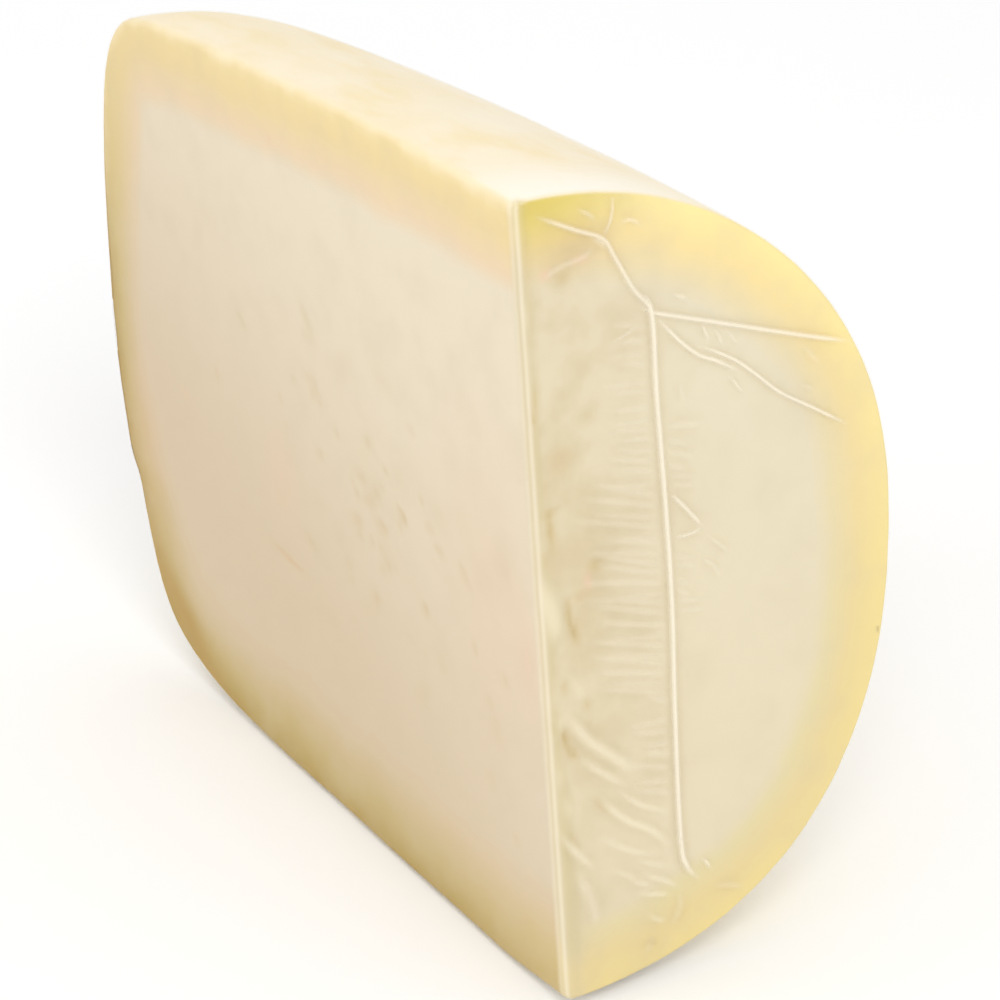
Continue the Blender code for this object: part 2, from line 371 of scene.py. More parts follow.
def gather_lines():
    """The cross waves beside the main fold, in the same form."""
    lines = []
    draw = np.random.default_rng(GATHER_SEED)
    for top, bottom, step, tip, slant, height in GATHERS:
        up = top
        while up > bottom:
            root = main_out(up) + math.copysign(GATHER_FROM_FOLD, tip - main_out(up))
            reach = tip + draw.uniform(-GATHER_TIP_SPREAD, GATHER_TIP_SPREAD)
            tilt = slant * draw.uniform(*GATHER_TILTS)
            sag = draw.uniform(-GATHER_SAG, GATHER_SAG)
            corners = [(root, up), ((root + reach) / 2.0, up + tilt / 2.0 + sag), (reach, up + tilt)]
            lines.append((height * draw.uniform(*GATHER_HEIGHTS), GATHER_WIDTH, GATHER_MILK, GATHER_FADE,
                          curve_points(corners)))
            up -= step * draw.uniform(*GATHER_STEPS)
    return lines


def fold_height(lines, flat):
    """Height and milkiness of the folds at each place of the D-shaped face, and the shade beside them."""
    total, milk, shade = np.zeros((3, len(flat)))
    for height, width, milkiness, fade, line in lines:
        reach = FOLD_REACH * width
        low, high = line.min(axis=0) - reach, line.max(axis=0) + reach
        near = np.nonzero(((flat > low) & (flat < high)).all(axis=1))[0]
        if not len(near):
            continue
        start, step = line[:-1], np.diff(line, axis=0)
        length = np.linalg.norm(step, axis=1)
        run = np.concatenate(([0.0], np.cumsum(length)))
        offset = flat[near][:, None, :] - start[None]
        share = np.clip((offset * step[None]).sum(-1) / (length**2)[None], 0.0, 1.0)
        gap = np.linalg.norm(offset - share[..., None] * step[None], axis=-1)
        best = gap.argmin(axis=1)
        rows = np.arange(len(near))
        gap, place = gap[rows, best], run[best] + share[rows, best] * length[best]
        ends = smooth_step(place / min(fade, run[-1] / 2.0) + FOLD_START)
        ends *= smooth_step((run[-1] - place) / min(fade, run[-1] / 2.0) + FOLD_END)
        shape = np.exp(-((gap / width) ** 2)) * ends
        total[near] = np.maximum(total[near], height * shape)
        milk[near] = np.maximum(milk[near], milkiness * shape)
        beside = np.exp(-((gap / (SHADE_REACH * width)) ** 2)) * ends - shape
        shade[near] = np.maximum(shade[near], beside * min(height / FULL_SHADE_HEIGHT, 1.0))
    return total, milk, shade * (1.0 - milk)


# Lumps and pockets where the film bridges the broken near edge, on the D-shaped face:
# (out, up, half width and half height in thousandths of the barrel's half height, turn in degrees,
# height in hundredths of a millimetre, brown stain, pink blush)
EDGE_MARKS = [
    (12, 725, 18, 42, 0, 35, 0, 0),
    (28, 10, 26, 70, 14, 75, 0, 0),
    (36, -45, 16, 32, 0, 35, 0, 0),
    (38, -285, 14, 24, 0, 45, 0, 0),
    (25, -420, 14, 30, 0, 35, 0, 0),
    (45, -505, 17, 30, 20, 40, 0, 0),
    (90, -215, 10, 34, 30, 35, 0, 0),
    (25, 520, 10, 52, -6, -35, 0.6, 0),
    (15, 475, 8, 12, 0, -28, 0.8, 0),
    (45, 200, 11, 44, 2, -56, 1.0, 0),
    (52, 243, 28, 10, 12, -31, 0.6, 0),
    (0, 130, 20, 30, 0, -21, 0.4, 0),
    (155, 82, 18, 16, 20, -28, 0.7, 0),
    (77, -12, 8, 32, 4, -63, 1.0, 0),
    (89, -68, 8, 30, 16, -63, 1.0, 0),
    (108, 18, 24, 12, 0, -7, 0.5, 0.1),
    (55, -200, 12, 20, 0, -31, 0.6, 0),
    (112, -260, 12, 20, 10, -28, 0.6, 0),
    (10, -290, 12, 12, 0, -24, 0.7, 0),
    (48, -325, 8, 22, 8, -56, 1.0, 0),
    (64, -368, 9, 24, 35, -56, 1.0, 0),
    (130, -522, 10, 28, 38, -21, 0.6, 0),
    (52, -590, 7, 22, 32, -21, 0.5, 0),
    (150, 450, 30, 22, 0, -10, 0.4, 0),
    (80, 360, 26, 28, 0, -6, 0.2, 0.1),
    (72, 810, 14, 12, 0, 15, 0, 0.8),
    (165, 824, 20, 9, -12, 15, 0, 0.7),
    (115, 790, 22, 20, 0, -10, 0.6, 0),
    (132, 50, 10, 22, 0, 5, 0, 0.7),
    (246, -925, 8, 8, 0, -14, 1.0, 0),
    (130, 860, 110, 50, 0, 0, 0.45, 0.1),
]

# The pale rounded strip along the near edge, as (height, how far out it reaches on the D-shaped face)
# in thousandths of the half height
STRIP_OUT = [(1000, -10), (860, -6), (800, 10), (770, 20), (720, 31), (690, 24), (660, 4), (450, 4),
             (420, 26), (330, 28), (260, 20), (150, 4), (90, 30), (70, 60), (-30, 66), (-80, 55),
             (-120, 30), (-240, 16), (-270, 42), (-320, 34), (-370, 30), (-420, 45), (-500, 64),
             (-550, 56), (-620, 50), (-750, 60), (-1000, 50)]
STRIP_SOFT = 0.022 * HALF_HEIGHT
STRIP_HIGH = 0.00004
STRIP_LUMPS, STRIP_LUMP_SIZE, STRIP_LUMP_SHIFT = 0.00022, 0.009, 11.0
STRIP_ALONG = 0.024 * HALF_HEIGHT
STRIP_ALONG_SOFT = 0.036 * HALF_HEIGHT
STRIP_ROUND = 1.6

# Scattered dents, and broader and shallower blotches, in the middle of the long cut face. Places and
# sizes are in half heights, depths in metres.
DENT_COUNT = 64
DENT_MIDDLE, DENT_SPREAD, DENT_SLOPE = (0.74, -0.06), (0.30, 0.17), 0.25
DENT_SIZE = (0.009, 0.024)
DENT_DEPTH = (0.00012, 0.00036)
DENT_STAIN, DENT_BLUSH = (0.15, 0.45), (0.0, 0.12)
BLOTCH_COUNT, BLOTCH_SPREAD = 26, (0.30, 0.30)
BLOTCH_SIZE, BLOTCH_DEEP, BLOTCH_STAIN = (0.03, 0.08), 0.00006, (0.05, 0.16)
MARK_FLATNESS = (0.5, 1.0)
MARK_REACH = 3.0
DENT_SEED = 12

# Single marks of the long cut face, in the form of EDGE_MARKS but with "along" for "out"
LONG_MARKS = [
    (1160, 795, 10, 7, 20, -20, 0, 1.0),
    (1255, -110, 70, 110, 0, -5, 0, 0.28),
    (1250, -330, 75, 9, 10, -30, 0.7, 0.3),
    (1050, 370, 50, 16, 60, -20, 0.35, 0),
    (1400, 260, 30, 14, 40, -20, 0.35, 0),
    (350, -40, 30, 12, 40, -18, 0.3, 0),
    (1120, -240, 30, 14, 30, -20, 0.35, 0),
    (80, -150, 45, 130, 0, 0, 0, 0.30),
    (1750, -60, 20, 10, 20, -15, 0.2, 0.5),
    (2020, -300, 90, 250, 0, 0, 0.2, 0.25),
    (220, 0, 220, 450, 0, 0, 0.08, 0.22),
]

# The darker golden corner of the long cut face at the foot of its far end, in the same form: partly the
# rind's deeper colour, partly painted shade.
FAR_CORNER_GOLD_AND_SHADE = (1880, -730, 220, 60, 36, 0, 1.0, 0)


def table_marks(rows):
    """The marks of a table, with places and sizes in half heights and the height in metres."""
    return [(*np.array(row[:4]) / HALF_HEIGHT_UNITS, row[4], row[5] / METRE_UNITS, *row[6:])
            for row in rows]


def scattered(draw, spread, slope, sizes):
    """The place, half width, half height and turn of one mark drawn about the middle of the dents."""
    along = DENT_MIDDLE[0] + spread[0] * draw.normal()
    up = DENT_MIDDLE[1] + spread[1] * draw.normal() + slope * (along - DENT_MIDDLE[0])
    size = draw.uniform(*sizes)
    return along, up, size, size * draw.uniform(*MARK_FLATNESS), draw.uniform(0.0, 180.0)


def long_marks():
    """The single marks of the long cut face, its scattered dents and its blotches."""
    draw = np.random.default_rng(DENT_SEED)
    marks = table_marks(LONG_MARKS)
    for _ in range(DENT_COUNT):
        marks.append((*scattered(draw, DENT_SPREAD, DENT_SLOPE, DENT_SIZE), -draw.uniform(*DENT_DEPTH),
                      draw.uniform(*DENT_STAIN), draw.uniform(*DENT_BLUSH)))
    for _ in range(BLOTCH_COUNT):
        marks.append((*scattered(draw, BLOTCH_SPREAD, 0.0, BLOTCH_SIZE), -BLOTCH_DEEP,
                      draw.uniform(*BLOTCH_STAIN), 0.0))
    return marks


def marked(flat, marks):
    """Height, stain and blush that the marks give each place of a flat face."""
    total = np.zeros((3, len(flat)))
    for across, up, half_wide, half_high, turn, height, stain, blush in marks:
        offset = flat / HALF_HEIGHT - (across, up)
        near = np.nonzero(np.abs(offset).max(axis=1) < MARK_REACH * max(half_wide, half_high))[0]
        cosine, sine = math.cos(math.radians(turn)), math.sin(math.radians(turn))
        side = (offset[near, 0] * cosine + offset[near, 1] * sine) / half_wide
        rise = (-offset[near, 0] * sine + offset[near, 1] * cosine) / half_high
        shape = np.exp(-(side**2 + rise**2))
        total[:, near] += np.array([[height], [stain], [blush]]) * shape
    return total


# Triangles of the D-shaped cut face

def inside_polygon(points, polygon):
    """True for each point inside the polygon."""
    inside = np.zeros(len(points), dtype=bool)
    previous = polygon[-1]
    for corner in polygon:
        crosses = (corner[1] > points[:, 1]) != (previous[1] > points[:, 1])
        rise = np.where(crosses, previous[1] - corner[1], 1.0)
        cut = corner[0] + (points[:, 1] - corner[1]) / rise * (previous[0] - corner[0])
        inside ^= crosses & (points[:, 0] < cut)
        previous = corner
    return inside


class Cells:
    """Points kept in square cells, to find quickly whether one lies within a gap of a place."""

    def __init__(self, gap, points=()):
        self.gap = gap
        self.cells = {}
        for x, y in points:
            self.put(x, y)

    def put(self, x, y):
        self.cells.setdefault((int(x // self.gap), int(y // self.gap)), []).append((x, y))

    def clear_at(self, x, y):
        column, row = int(x // self.gap), int(y // self.gap)
        for i in (-1, 0, 1):
            for j in (-1, 0, 1):
                for a, b in self.cells.get((column + i, row + j), ()):
                    if (x - a) ** 2 + (y - b) ** 2 < self.gap**2:
                        return False
        return True


def far_from(points, others, gap):
    """The points that have none of the others within the gap."""
    cells = Cells(gap, others)
    return np.array([p for p in points if cells.clear_at(*p)]).reshape(-1, 2)


def thinned(points, gap):
    """The points in order, without those closer than the gap to one kept before."""
    cells, kept = Cells(gap), []
    for x, y in points:
        if cells.clear_at(x, y):
            cells.put(x, y)
            kept.append((x, y))
    return np.array(kept)


FOLD_OFFSETS = (0.0, 0.55, 1.1, 1.7, 2.6)
FOLD_POINT_GAP = 0.00026

# The triangulation counts in millimetres and keeps what lies inside the border, save for slivers
MILLIMETRES = 1000.0
INSIDE_ONLY = 1
MERGE_GAP = 1e-6
SLIVER = 0.0001


def fold_points(lines):
    """Places along every fold and beside it, closest at its crest."""
    rows = []
    for offset in FOLD_OFFSETS:
        for _, width, _, _, line in lines:
            step = np.gradient(line, axis=0)
            side = np.column_stack((-step[:, 1], step[:, 0]))
            side /= np.linalg.norm(side, axis=1)[:, None] + TINY_LENGTH
            for sign in (1.0, -1.0)[: 1 if offset == 0.0 else 2]:
                rows.append(line + sign * offset * width * side)
    return thinned(np.concatenate(rows), FOLD_POINT_GAP)


def face_triangles(border, lines, grid_step, seed):
    """Points inside the flat face's border, and the triangles over the border's points and these."""
    low, high = border.min(axis=0), border.max(axis=0)
    outs, ups = (np.arange(low[k], high[k], grid_step) for k in range(2))
    grid = np.stack(np.meshgrid(outs, ups), axis=-1).reshape(-1, 2)
    draw = np.random.default_rng(seed)
    grid = grid + draw.uniform(-GRID_SPREAD, GRID_SPREAD, grid.shape) * grid_step
    points = far_from(grid[inside_polygon(grid, border)], border, GRID_TO_BORDER * grid_step)
    if lines:
        folds = fold_points(lines)
        folds = far_from(folds[inside_polygon(folds, border)], border, FOLD_POINT_GAP)
        points = np.concatenate((folds, far_from(points, folds, GRID_TO_FOLD * grid_step)))
    flat = np.concatenate((border, points)) * MILLIMETRES
    count = len(border)
    rim = [list(range(count))]
    found = geometry.delaunay_2d_cdt([Vector(p) for p in flat], [], rim, INSIDE_ONLY, MERGE_GAP, True)
    origin = [source[0] if source else None for source in found[3]]
    faces = [[origin[v] for v in face] for face in found[2]]
    faces = np.array([face for face in faces if None not in face and len(set(face)) == 3])
    a, b, c = (flat[faces[:, k]] for k in range(3))
    turn = (b[:, 0] - a[:, 0]) * (c[:, 1] - a[:, 1]) - (b[:, 1] - a[:, 1]) * (c[:, 0] - a[:, 0])
    kept = (np.abs(turn) > SLIVER) & inside_polygon((a + b + c) / 3.0, flat[:count])
    return points, [face if up > 0 else face[::-1] for face, up in zip(faces[kept].tolist(), turn[kept])]


# The skin of the whole piece, which paste and film share

def build_skin(name, lines, grid_step, seed):
    """A closed mesh of the piece. Returns it with the barrel place of each of its points."""
    rings = side_rings()
    place = Place(rings)
    places, points = closed_rings(rings, place.pressed(rings))
    count = places.shape[1]
    inner, triangles = face_triangles(places[0][:, 1:3], lines, grid_step, seed)
    face_places = np.column_stack((np.zeros(len(inner)), inner))
    face_points = place.world(*face_places.T)
    total = places.shape[0] * count
    all_points = np.concatenate((points.reshape(-1, 3), face_points, [points[-1].mean(axis=0)]))
    all_places = np.concatenate((places.reshape(-1, 3), face_places, [places[-1].mean(axis=0)]))
    faces = [[v if v < count else v - count + total for v in triangle] for triangle in triangles]
    for i in range(places.shape[0] - 1):
        start = i * count
        for j in range(count):
            k = (j + 1) % count
            faces.append([start + j, start + k, start + k + count, start + j + count])
    last = (places.shape[0] - 1) * count
    tip = len(all_points) - 1
    faces += [[last + j, last + (j + 1) % count, tip] for j in range(count)]
    mesh = bpy.data.meshes.new(name)
    mesh.from_pydata(all_points.tolist(), [], faces)
    mesh.validate()
    made = bpy.data.objects.new(name, mesh)
    bpy.context.scene.collection.objects.link(made)
    mesh.shade_smooth()
    return made, all_places


# The small step in the rind of the far end
FAR_STEP_FROM, FAR_STEP_TO = 0.80 * LENGTH, 0.97 * LENGTH
FAR_STEP_UP = -0.375 * HALF_HEIGHT
FAR_STEP_HIGH = 0.07 * HALF_HEIGHT
FAR_STEP_DEEP = 0.0030
FAR_STEP_WIDE = 0.6 * DEPTH
FAR_STEP_FADE = (-0.42 * HALF_HEIGHT, -0.95 * HALF_HEIGHT)


def far_step(places):
    """How far the far end is set in below the small step in its rind."""
    along, out, up = places.T
    end = smooth_step((along - FAR_STEP_FROM) / (FAR_STEP_TO - FAR_STEP_FROM))
    below = smooth_step((FAR_STEP_UP - up) / FAR_STEP_HIGH + 0.5)
    lasting = smooth_step((up - FAR_STEP_FADE[1]) / (FAR_STEP_FADE[0] - FAR_STEP_FADE[1]))
    beside = smooth_step(1.0 - out / FAR_STEP_WIDE)
    return FAR_STEP_DEEP * end * below * lasting * beside


def shape_points(mesh, places, heights):
    """Moves each point along its normal by its height, and keeps it inside the solid's box."""
    points = np.empty(len(mesh.vertices) * 3)
    normals = np.empty(len(mesh.vertices) * 3)
    mesh.vertices.foreach_get("co", points)
    mesh.vertex_normals.foreach_get("vector", normals)
    moved = points.reshape(-1, 3) + normals.reshape(-1, 3) * heights[:, None]
    moved[:, 0] += far_step(places)
    moved = np.clip(moved, CAD_LOW + BOX_MARGIN, CAD_HIGH - BOX_MARGIN)
    mesh.vertices.foreach_set("co", moved.ravel())
    mesh.update()


def add_values(mesh, named):
    """Stores the values of each name with the points, for the materials to read."""
    for name, values in named.items():
        attribute = mesh.attributes.new(name, "FLOAT", "POINT")
        attribute.data.foreach_set("value", np.asarray(values, dtype=np.float32))


def noise_at(places, size, shift):
    """Soft noise between about -1 and 1 at each barrel place, with features of this size."""
    return np.array([noise.noise(Vector(p)) for p in places / size + shift])


# Where each point lies: on which face, and how deep under the rind

NEAR_EDGE_REACH = 1.4
END_FACE_REACH = 1.6 * RIM_RADIUS
LONG_FACE_REACH = 1.2 * EDGE_RADIUS
LONG_FACE_START = 0.2


def top_and_foot(along):
    """Height of the rind's two edges on the long cut face."""
    shares = np.clip(along / LENGTH, 0.0, 1.0)
    top = np.array([drawn_in(s, TOP_TAPER, TOP_CLOSING) for s in shares]) * HALF_HEIGHT
    foot = -np.array([drawn_in(s, UNDERSIDE_TAPER, UNDERSIDE_CLOSING) for s in shares]) * FOOT_HALF_HEIGHT
    return top, foot


def outline_gap(points, outline):
    """Distance from each flat point to a polyline."""
    best = np.full(len(points), np.inf)
    for a, d in zip(outline[:-1], np.diff(outline, axis=0)):
        offset = points - a
        share = np.clip((offset @ d) / (d @ d + TINY_SQUARE), 0.0, 1.0)
        best = np.minimum(best, np.linalg.norm(offset - share[:, None] * d, axis=1))
    return best


def near_edge(places):
    """1 on the rounded near edge between the two cut faces, fading within a few millimetres."""
    return smooth_step(NEAR_EDGE_REACH - places[:, :2].max(axis=1) / NEAR_RADIUS)


def on_end_face(places):
    """1 on the D-shaped cut face, and 0 from just behind its rim."""
    along, out = places.T[:2]
    share = smooth_step(1.0 - along / END_FACE_REACH)
    return np.maximum(share, near_edge(places) * smooth_step(0.5 + (out - along) / NEAR_RADIUS))


def on_long_face(places):
    """1 on the long cut face, and 0 from just behind its edge."""
    along, out = places.T[:2]
    share = smooth_step(1.0 - out / LONG_FACE_REACH) * smooth_step(along / NEAR_RADIUS - LONG_FACE_START)
    return np.maximum(share, near_edge(places)) * (1.0 - on_end_face(places))


# How wide the golden band under the rind is, in half heights
BAND_TOP, BAND_FOOT, BAND_FAR = 0.200, 0.270, 0.140
BAND_END = 0.175
BAND_TURN = 1.4 * HALF_HEIGHT
BAND_FAR_FROM, BAND_FAR_OVER = 0.62, 0.30
BAND_LONG_REACH = 1.1 * NEAR_RADIUS

# The rind's outline as the band sees it: even steps to this share of the length, then closer ones
OUTLINE_EVEN, OUTLINE_EVEN_COUNT = 0.85, 30
OUTLINE_END, OUTLINE_END_COUNT = 0.387, 40
RIM_POINT_STEP = 3


def long_outline():
    """The rind's outline on the long cut face, over the top to the far end and back along the foot."""
    even = np.linspace(0.0, OUTLINE_EVEN, OUTLINE_EVEN_COUNT)
    closer = 1.0 - np.linspace(OUTLINE_END, 0.0, OUTLINE_END_COUNT)[1:] ** 2
    along = np.concatenate((even, closer)) * LENGTH
    top, foot = top_and_foot(along)
    return np.concatenate((np.column_stack((along, top)), np.column_stack((along, foot))[::-1]))


def band_depth(places):
    """How deep under the rind each point of the cut faces lies: 0 at the rind, 1 where the band ends."""
    along, out, up = places.T
    depth = np.zeros(len(places))
    on_end = on_end_face(places) > 0.5
    rim = d_ring(0.0)[::RIM_POINT_STEP, :2]
    depth[on_end] = outline_gap(np.column_stack((out, up))[on_end], rim) / (BAND_END * HALF_HEIGHT)
    on_long = (out < BAND_LONG_REACH) & ~on_end
    gap = outline_gap(np.column_stack((along, up))[on_long], long_outline())
    high = smooth_step(0.5 + up[on_long] / BAND_TURN)
    far = smooth_step((along[on_long] / LENGTH - BAND_FAR_FROM) / BAND_FAR_OVER)
    far = far * (1.0 - np.abs(2.0 * high - 1.0) ** 2)
    width = mix(mix(BAND_FOOT, BAND_TOP, high), BAND_FAR, far)
    depth[on_long] = gap / (width * HALF_HEIGHT)
    return depth


def strip_share(places):
    """1 on the pale rounded strip along the near edge, 0 away from it."""
    along, out, up = places.T
    ups, outs = np.array(sorted(STRIP_OUT)).T / HALF_HEIGHT_UNITS * HALF_HEIGHT
    around = out - along
    beside = smooth_step((np.interp(up, ups, outs) - around) / STRIP_SOFT + 0.5)
    behind = smooth_step((STRIP_ALONG + around) / STRIP_ALONG_SOFT + 0.5)
    return beside * behind * smooth_step(STRIP_ROUND - np.minimum(along, out) / NEAR_RADIUS)


def strip_relief(places, strip):
    """Height of the strip, lumpy along its length."""
    return strip * (STRIP_HIGH + STRIP_LUMPS * noise_at(places, STRIP_LUMP_SIZE, STRIP_LUMP_SHIFT))


def cut_marks(places):
    """Height, stain and blush of the marks on both cut faces, at each point."""
    along, out, up = places.T
    end, long = on_end_face(places), on_long_face(places)
    total = marked(np.column_stack((out, up)), table_marks(EDGE_MARKS)) * end
    return total + marked(np.column_stack((along, up)), long_marks()) * long


# Materials

def new_material(name):
    material = bpy.data.materials.new(name)
    material.use_nodes = True
    material.node_tree.nodes.clear()
    return material


class Nodes:
    """Short ways to add and join shader nodes."""

    def __init__(self, material):
        self.tree = material.node_tree

    def add(self, kind, inputs=None, **settings):
        node = self.tree.nodes.new(kind)
        for key, value in settings.items():
            setattr(node, key, value)
        for key, value in (inputs or {}).items():
            self.set(node.inputs[key], value)
        return node

    def set(self, socket, value):
        if isinstance(value, bpy.types.NodeSocket):
            self.tree.links.new(value, socket)
        elif isinstance(value, bpy.types.Node):
            self.tree.links.new(value.outputs[0], socket)
        else:
            socket.default_value = value

    def math(self, operation, first, second, third=None, clamp=False):
        node = self.add("ShaderNodeMath", operation=operation, use_clamp=clamp)
        self.set(node.inputs[0], first)
        self.set(node.inputs[1], second)
        if third is not None:
            self.set(node.inputs[2], third)
        return node.outputs[0]

    def step(self, value, kind):
        """A soft step of this kind, given as (from, to, result below, result above)."""
        low, high, below, above = kind
        node = self.add("ShaderNodeMapRange", {0: value, 1: low, 2: high, 3: below, 4: above},
                        interpolation_type="SMOOTHSTEP")
        return node.outputs[0]

    def mix(self, share, first, second):
        node = self.add("ShaderNodeMix", data_type="RGBA")
        self.set(node.inputs[0], share)
        self.set(node.inputs[6], first)
        self.set(node.inputs[7], second)
        return node.outputs[2]

    def colours(self, value, stops):
        """A colour that runs through the stops, each (place, colour), as the value goes from 0 to 1."""
        node = self.add("ShaderNodeValToRGB", {"Fac": value})
        elements = node.color_ramp.elements
        while len(elements) < len(stops):
            elements.new(0.5)
        for element, (position, colour) in zip(elements, stops):
            element.position = position
            element.color = colour
        return node.outputs[0]

    def noise(self, kind, where):
        """A noise of this kind, given as (scale, detail, roughness)."""
        scale, detail, rough = kind
        node = self.add("ShaderNodeTexNoise", {"Scale": scale, "Detail": detail, "Roughness": rough})
        self.set(node.inputs["Vector"], where)
        return node.outputs[0]

    def value(self, name):
        return self.add("ShaderNodeAttribute", attribute_name=name).outputs["Fac"]


def screen(red, green, blue):
    """A colour from 0 to 255 on the screen, as the linear colour that shaders take."""
    linear = [v / 12.92 if v <= 0.04045 else ((v + 0.055) / 1.055) ** 2.4
              for v in (red / 255.0, green / 255.0, blue / 255.0)]
    return (*linear, 1.0)


# Colours of the long cut face, from the rind inwards, at its top and at its foot, and of the other face.
# The foot colours are darker, partly the rind's deeper tone and partly painted shade. The stops run to
# this band depth.
DEPTH_RANGE = 1.5
LONG_TOP = [(0.00, screen(239, 216, 154)), (0.30, screen(233, 209, 152)), (0.62, screen(232, 208, 172)),
            (0.78, screen(229, 217, 192))]
LONG_FOOT_TONE_AND_SHADE = [(0.00, screen(174, 144, 64)), (0.25, screen(193, 171, 113)), (0.60, screen(208, 187, 152)),
             (0.80, screen(210, 190, 160))]
END_TOP = [(0.00, screen(246, 228, 156)), (0.35, screen(240, 217, 152)), (0.60, screen(229, 212, 169)),
           (0.80, screen(223, 213, 186))]
END_FOOT_TONE_AND_SHADE = [(0.00, screen(233, 212, 142)), (0.35, screen(224, 204, 146)), (0.60, screen(221, 207, 160)),
            (0.80, screen(222, 210, 180))]
END_NEAR = screen(208, 190, 150)
END_CORNER = screen(214, 193, 88)
# Colour of the far corner at the foot: partly deeper rind colour, partly painted shade
LONG_CORNER_GOLD_AND_SHADE = screen(176, 136, 44)
STAIN = screen(190, 162, 94)
BLUSH = screen(232, 188, 160)
STRIP = screen(205, 190, 148)
NEAR_TONE = screen(193, 177, 132)
PALE = screen(236, 226, 196)
PASTE_SPECK = screen(203, 188, 154)
# Painted highlight along the rim of the D-shaped face: pale at the top, golden at the side, where it is
# partly the band's own colour and partly painted glow
RIM_HIGHLIGHT, RIM_GOLD_AND_GLOW = screen(253, 248, 238), screen(253, 234, 162)
RIND_CREAM, RIND_GOLD = screen(248, 236, 210), screen(244, 224, 172)
RIND_TURN, RIND_DRAW = (0.0, 0.0, 0.3), (0.45, 1.0, 1.0)

# What is painted over the paste last, in this order: (name of its values, strength, colour)
PAINTED = [("near_edge", 0.40, NEAR_TONE), ("pale", 0.60, PALE), ("stain", 0.62, STAIN),
           ("blush", 0.70, BLUSH)]
LONG_CORNER_GOLD_AND_SHADE_STRENGTH = 0.75

# Noises as (scale, detail, roughness) and soft steps as (from, to, result below, result above)
BLOTCH_NOISE, PATCH_NOISE = (16.0, 4.0, 0.55), (60.0, 3.0, 0.55)
FINE_NOISE, STREAK_NOISE = (220.0, 3.0, 0.6), (70.0, 4.0, 0.6)
END_NEAR_STEP, SPECK_STEP = (0.33, 0.67, 0.35, 1.15), (0.42, 0.75, 0.0, 0.16)
STRIP_STEP, OVER_EDGE_STEP = (0.25, 0.65, 0.25, 0.85), (0.04, 0.24, 0.60, 0.0)
GOLD_BLOTCH_STEP, GOLD_STREAK_STEP = (0.40, 0.70, 0.0, 0.45), (0.45, 0.72, 0.0, 0.55)
PASTE_ROUGH_STEP = (0.3, 0.8, 0.55, 0.70)
BAND_BY_PATCH, BAND_BY_BLOTCH, BAND_SHIFT = 0.26, 0.20, -0.23
OVER_EDGE_BY_PATCH = 0.16


def paste_material():
    """Ivory paste that turns golden towards the rind, and the pale waxy rind itself."""
    material = new_material("provolone_paste")
    n = Nodes(material)
    where = n.add("ShaderNodeTexCoord").outputs["Object"]
    blotch, patch, fine = (n.noise(kind, where) for kind in (BLOTCH_NOISE, PATCH_NOISE, FINE_NOISE))
    ragged = n.math("MULTIPLY_ADD", blotch, BAND_BY_BLOTCH, BAND_SHIFT)
    ragged = n.math("MULTIPLY_ADD", patch, BAND_BY_PATCH, ragged)
    depth = n.math("DIVIDE", n.math("ADD", n.value("band_depth"), ragged), DEPTH_RANGE, clamp=True)
    # Darker colours towards the foot: partly the rind's deeper tone, partly painted shade
    long = n.mix(n.value("foot_tone_and_shade"), n.colours(depth, LONG_TOP), n.colours(depth, LONG_FOOT_TONE_AND_SHADE))
    end = n.mix(n.value("foot_tone_and_shade"), n.colours(depth, END_TOP), n.colours(depth, END_FOOT_TONE_AND_SHADE))
    end = n.mix(n.math("MULTIPLY", n.value("nearness"), n.step(patch, END_NEAR_STEP)), end, END_NEAR)
    end = n.mix(n.value("corner"), end, END_CORNER)
    paste = n.mix(n.value("end_face"), long, end)
    paste = n.mix(n.step(patch, SPECK_STEP), paste, PASTE_SPECK)
    # Painted shade, with a deeper golden tone, in the far corner at the foot
    paste = n.mix(n.math("MULTIPLY", n.value("far_corner_gold_and_shade"), LONG_CORNER_GOLD_AND_SHADE_STRENGTH), paste, LONG_CORNER_GOLD_AND_SHADE)
    paste = n.mix(n.math("MULTIPLY", n.value("strip"), n.step(depth, STRIP_STEP)), paste, STRIP)
    for name, strength, tone in PAINTED:
        paste = n.mix(n.math("MULTIPLY", n.value(name), strength, clamp=True), paste, tone)
    drawn_out = n.add("ShaderNodeMapping", {"Vector": where, "Rotation": RIND_TURN, "Scale": RIND_DRAW})
    streaks = n.noise(STREAK_NOISE, drawn_out)
    golden = n.math("ADD", n.step(blotch, GOLD_BLOTCH_STEP), n.step(streaks, GOLD_STREAK_STEP), clamp=True)
    rind = n.mix(golden, RIND_CREAM, RIND_GOLD)
    over_edge = n.step(n.math("MULTIPLY_ADD", patch, OVER_EDGE_BY_PATCH, depth), OVER_EDGE_STEP)
    for name in ("foot_tone_and_shade", "end_face"):
        over_edge = n.math("MULTIPLY", over_edge, n.math("SUBTRACT", 1.0, n.value(name)))
    paste = n.mix(over_edge, paste, RIND_CREAM)
    # The rim painted lighter as a painted highlight, turning golden towards the side
    rind = n.mix(n.value("rim"), rind, n.mix(n.value("rim_side"), RIM_HIGHLIGHT, RIM_GOLD_AND_GLOW))
    colour = n.mix(n.value("rind"), paste, rind)
    bump = n.add("ShaderNodeBump", {"Strength": 0.20, "Distance": 0.0003})
    n.set(bump.inputs["Height"], n.math("ADD", fine, patch))
    shader = n.add("ShaderNodeBsdfPrincipled", {
        "Roughness": n.step(fine, PASTE_ROUGH_STEP), "Specular IOR Level": 0.10})
    n.set(shader.inputs["Base Color"], colour)
    n.set(shader.inputs["Normal"], bump)
    n.add("ShaderNodeOutputMaterial", {"Surface": shader})
    return material


